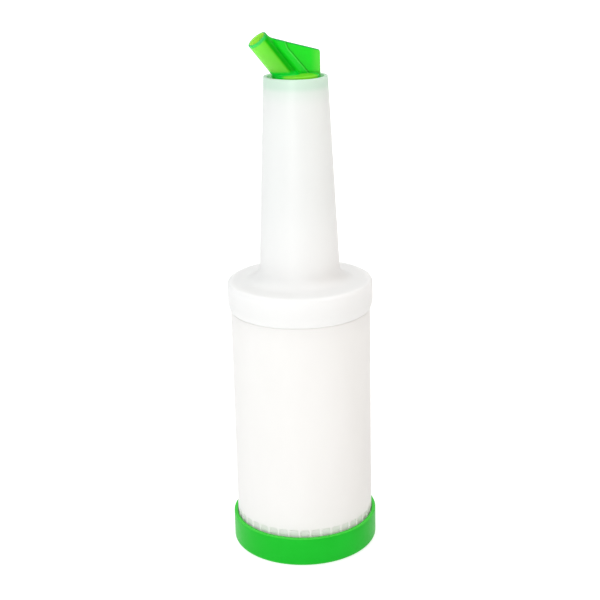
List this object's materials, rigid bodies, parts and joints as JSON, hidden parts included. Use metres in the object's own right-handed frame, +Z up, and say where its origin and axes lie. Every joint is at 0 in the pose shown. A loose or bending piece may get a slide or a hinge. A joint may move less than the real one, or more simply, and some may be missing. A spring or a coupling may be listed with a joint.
{
  "type": "dispenser bottle",
  "caption": "Tall bar pouring bottle: wide cylindrical jar, screw-on tapered neck, push-in spout with slanted tube and upright fin, and a screw lid stored under the base as a foot.",
  "frame": {"origin": "on the bottle's axis at the underside of the lid that it stands on", "axes": "+Z up along the bottle's axis; the spout's tube leans towards -X and its fin lies in the XZ plane"},
  "size_m": [0.0944, 0.0944, 0.3347],
  "materials": {
    "lid_green": "satin opaque moulded polypropylene",
    "jar_white": "translucent blown polyethylene",
    "neck_white": "translucent moulded polyethylene, satin",
    "spout_green": "clear tinted polypropylene"
  },
  "bodies": {
    "lid": {"lid": "lid_green"},
    "jar": {"jar": "jar_white"},
    "neck": {"neck": "neck_white"},
    "spout": {"spout": "spout_green"}
  },
  "joints": [
    {"name": "jar_lift", "type": "slide", "parent": "lid", "child": "jar", "axis": [0, 0, 1], "range_m": [0, 0.04]},
    {"name": "neck_lift", "type": "slide", "parent": "jar", "child": "neck", "axis": [0, 0, 1], "range_m": [0, 0.03]},
    {"name": "spout_pull", "type": "slide", "parent": "neck", "child": "spout", "axis": [0, 0, 1], "range_m": [0, 0.02]}
  ]
}
